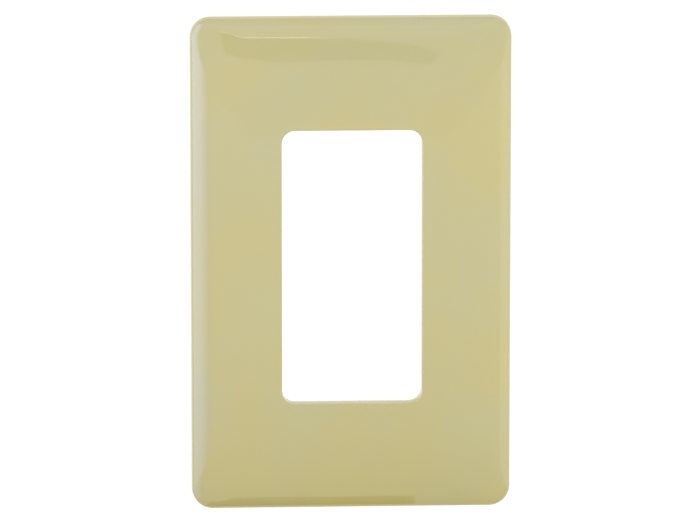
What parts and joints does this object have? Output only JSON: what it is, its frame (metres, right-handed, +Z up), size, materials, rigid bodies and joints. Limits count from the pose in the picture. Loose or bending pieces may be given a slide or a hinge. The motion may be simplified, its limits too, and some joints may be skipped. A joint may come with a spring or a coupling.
{
  "type": "screwless wall plate",
  "caption": "Crowned clip-on wall plate with a tall rounded opening, over a mounting frame with spring latches and captive screws.",
  "frame": {"origin": "middle of the device opening, on the wall plane", "axes": "+X to the right seen from the front, +Z up, -Y out of the wall towards the front; the wall plane is y = 0"},
  "size_m": [0.0776, 0.0192, 0.1206],
  "materials": {
    "cover_plastic": "glossy ivory",
    "frame_plastic": "moulded satin",
    "screw_steel": "bright zinc plate",
    "retainer_nylon": "natural nylon"
  },
  "bodies": {
    "frame": {"mounting_frame": "frame_plastic"},
    "cover": {"cover": "cover_plastic"},
    "latch_upper_right": {"latch_upper_right": "frame_plastic"},
    "latch_upper_left": {"latch_upper_left": "frame_plastic"},
    "latch_lower_right": {"latch_lower_right": "frame_plastic"},
    "latch_lower_left": {"latch_lower_left": "frame_plastic"},
    "upper_retainer": {"upper_retainer": "retainer_nylon"},
    "upper_screw": {"upper_screw": "screw_steel"},
    "lower_retainer": {"lower_retainer": "retainer_nylon"},
    "lower_screw": {"lower_screw": "screw_steel"}
  },
  "joints": [
    {"name": "cover_pull", "type": "slide", "parent": "frame", "child": "cover", "axis": [0, -1, 0], "range_m": [0, 0.025]},
    {"name": "latch_upper_right_flex", "type": "hinge", "parent": "frame", "child": "latch_upper_right", "pos_m": [0.0342, -0.0017, 0.022], "axis": [0, -1, 0], "range_deg": [0, 4], "stiffness_Nm_per_rad": 0.02},
    {"name": "latch_upper_left_flex", "type": "hinge", "parent": "frame", "child": "latch_upper_left", "pos_m": [-0.0342, -0.0017, 0.022], "axis": [0, 1, 0], "range_deg": [0, 4], "stiffness_Nm_per_rad": 0.02},
    {"name": "latch_lower_right_flex", "type": "hinge", "parent": "frame", "child": "latch_lower_right", "pos_m": [0.0342, -0.0017, -0.022], "axis": [0, 1, 0], "range_deg": [0, 4], "stiffness_Nm_per_rad": 0.02},
    {"name": "latch_lower_left_flex", "type": "hinge", "parent": "frame", "child": "latch_lower_left", "pos_m": [-0.0342, -0.0017, -0.022], "axis": [0, -1, 0], "range_deg": [0, 4], "stiffness_Nm_per_rad": 0.02},
    {"name": "upper_screw_travel", "type": "slide", "parent": "frame", "child": "upper_retainer", "axis": [0, -1, 0], "range_m": [0, 0.00079375]},
    {"name": "upper_screw_turn", "type": "hinge", "parent": "upper_retainer", "child": "upper_screw", "pos_m": [0, 0, 0.04842], "axis": [0, -1, 0], "range_deg": [0, 360]},
    {"name": "lower_screw_travel", "type": "slide", "parent": "frame", "child": "lower_retainer", "axis": [0, -1, 0], "range_m": [0, 0.00079375]},
    {"name": "lower_screw_turn", "type": "hinge", "parent": "lower_retainer", "child": "lower_screw", "pos_m": [0, 0, -0.04842], "axis": [0, -1, 0], "range_deg": [0, 360]}
  ],
  "couplings": [
    {"joint": "upper_screw_turn", "follows": "upper_screw_travel", "rad_per_m": 7915.8},
    {"joint": "lower_screw_turn", "follows": "lower_screw_travel", "rad_per_m": 7915.8}
  ]
}
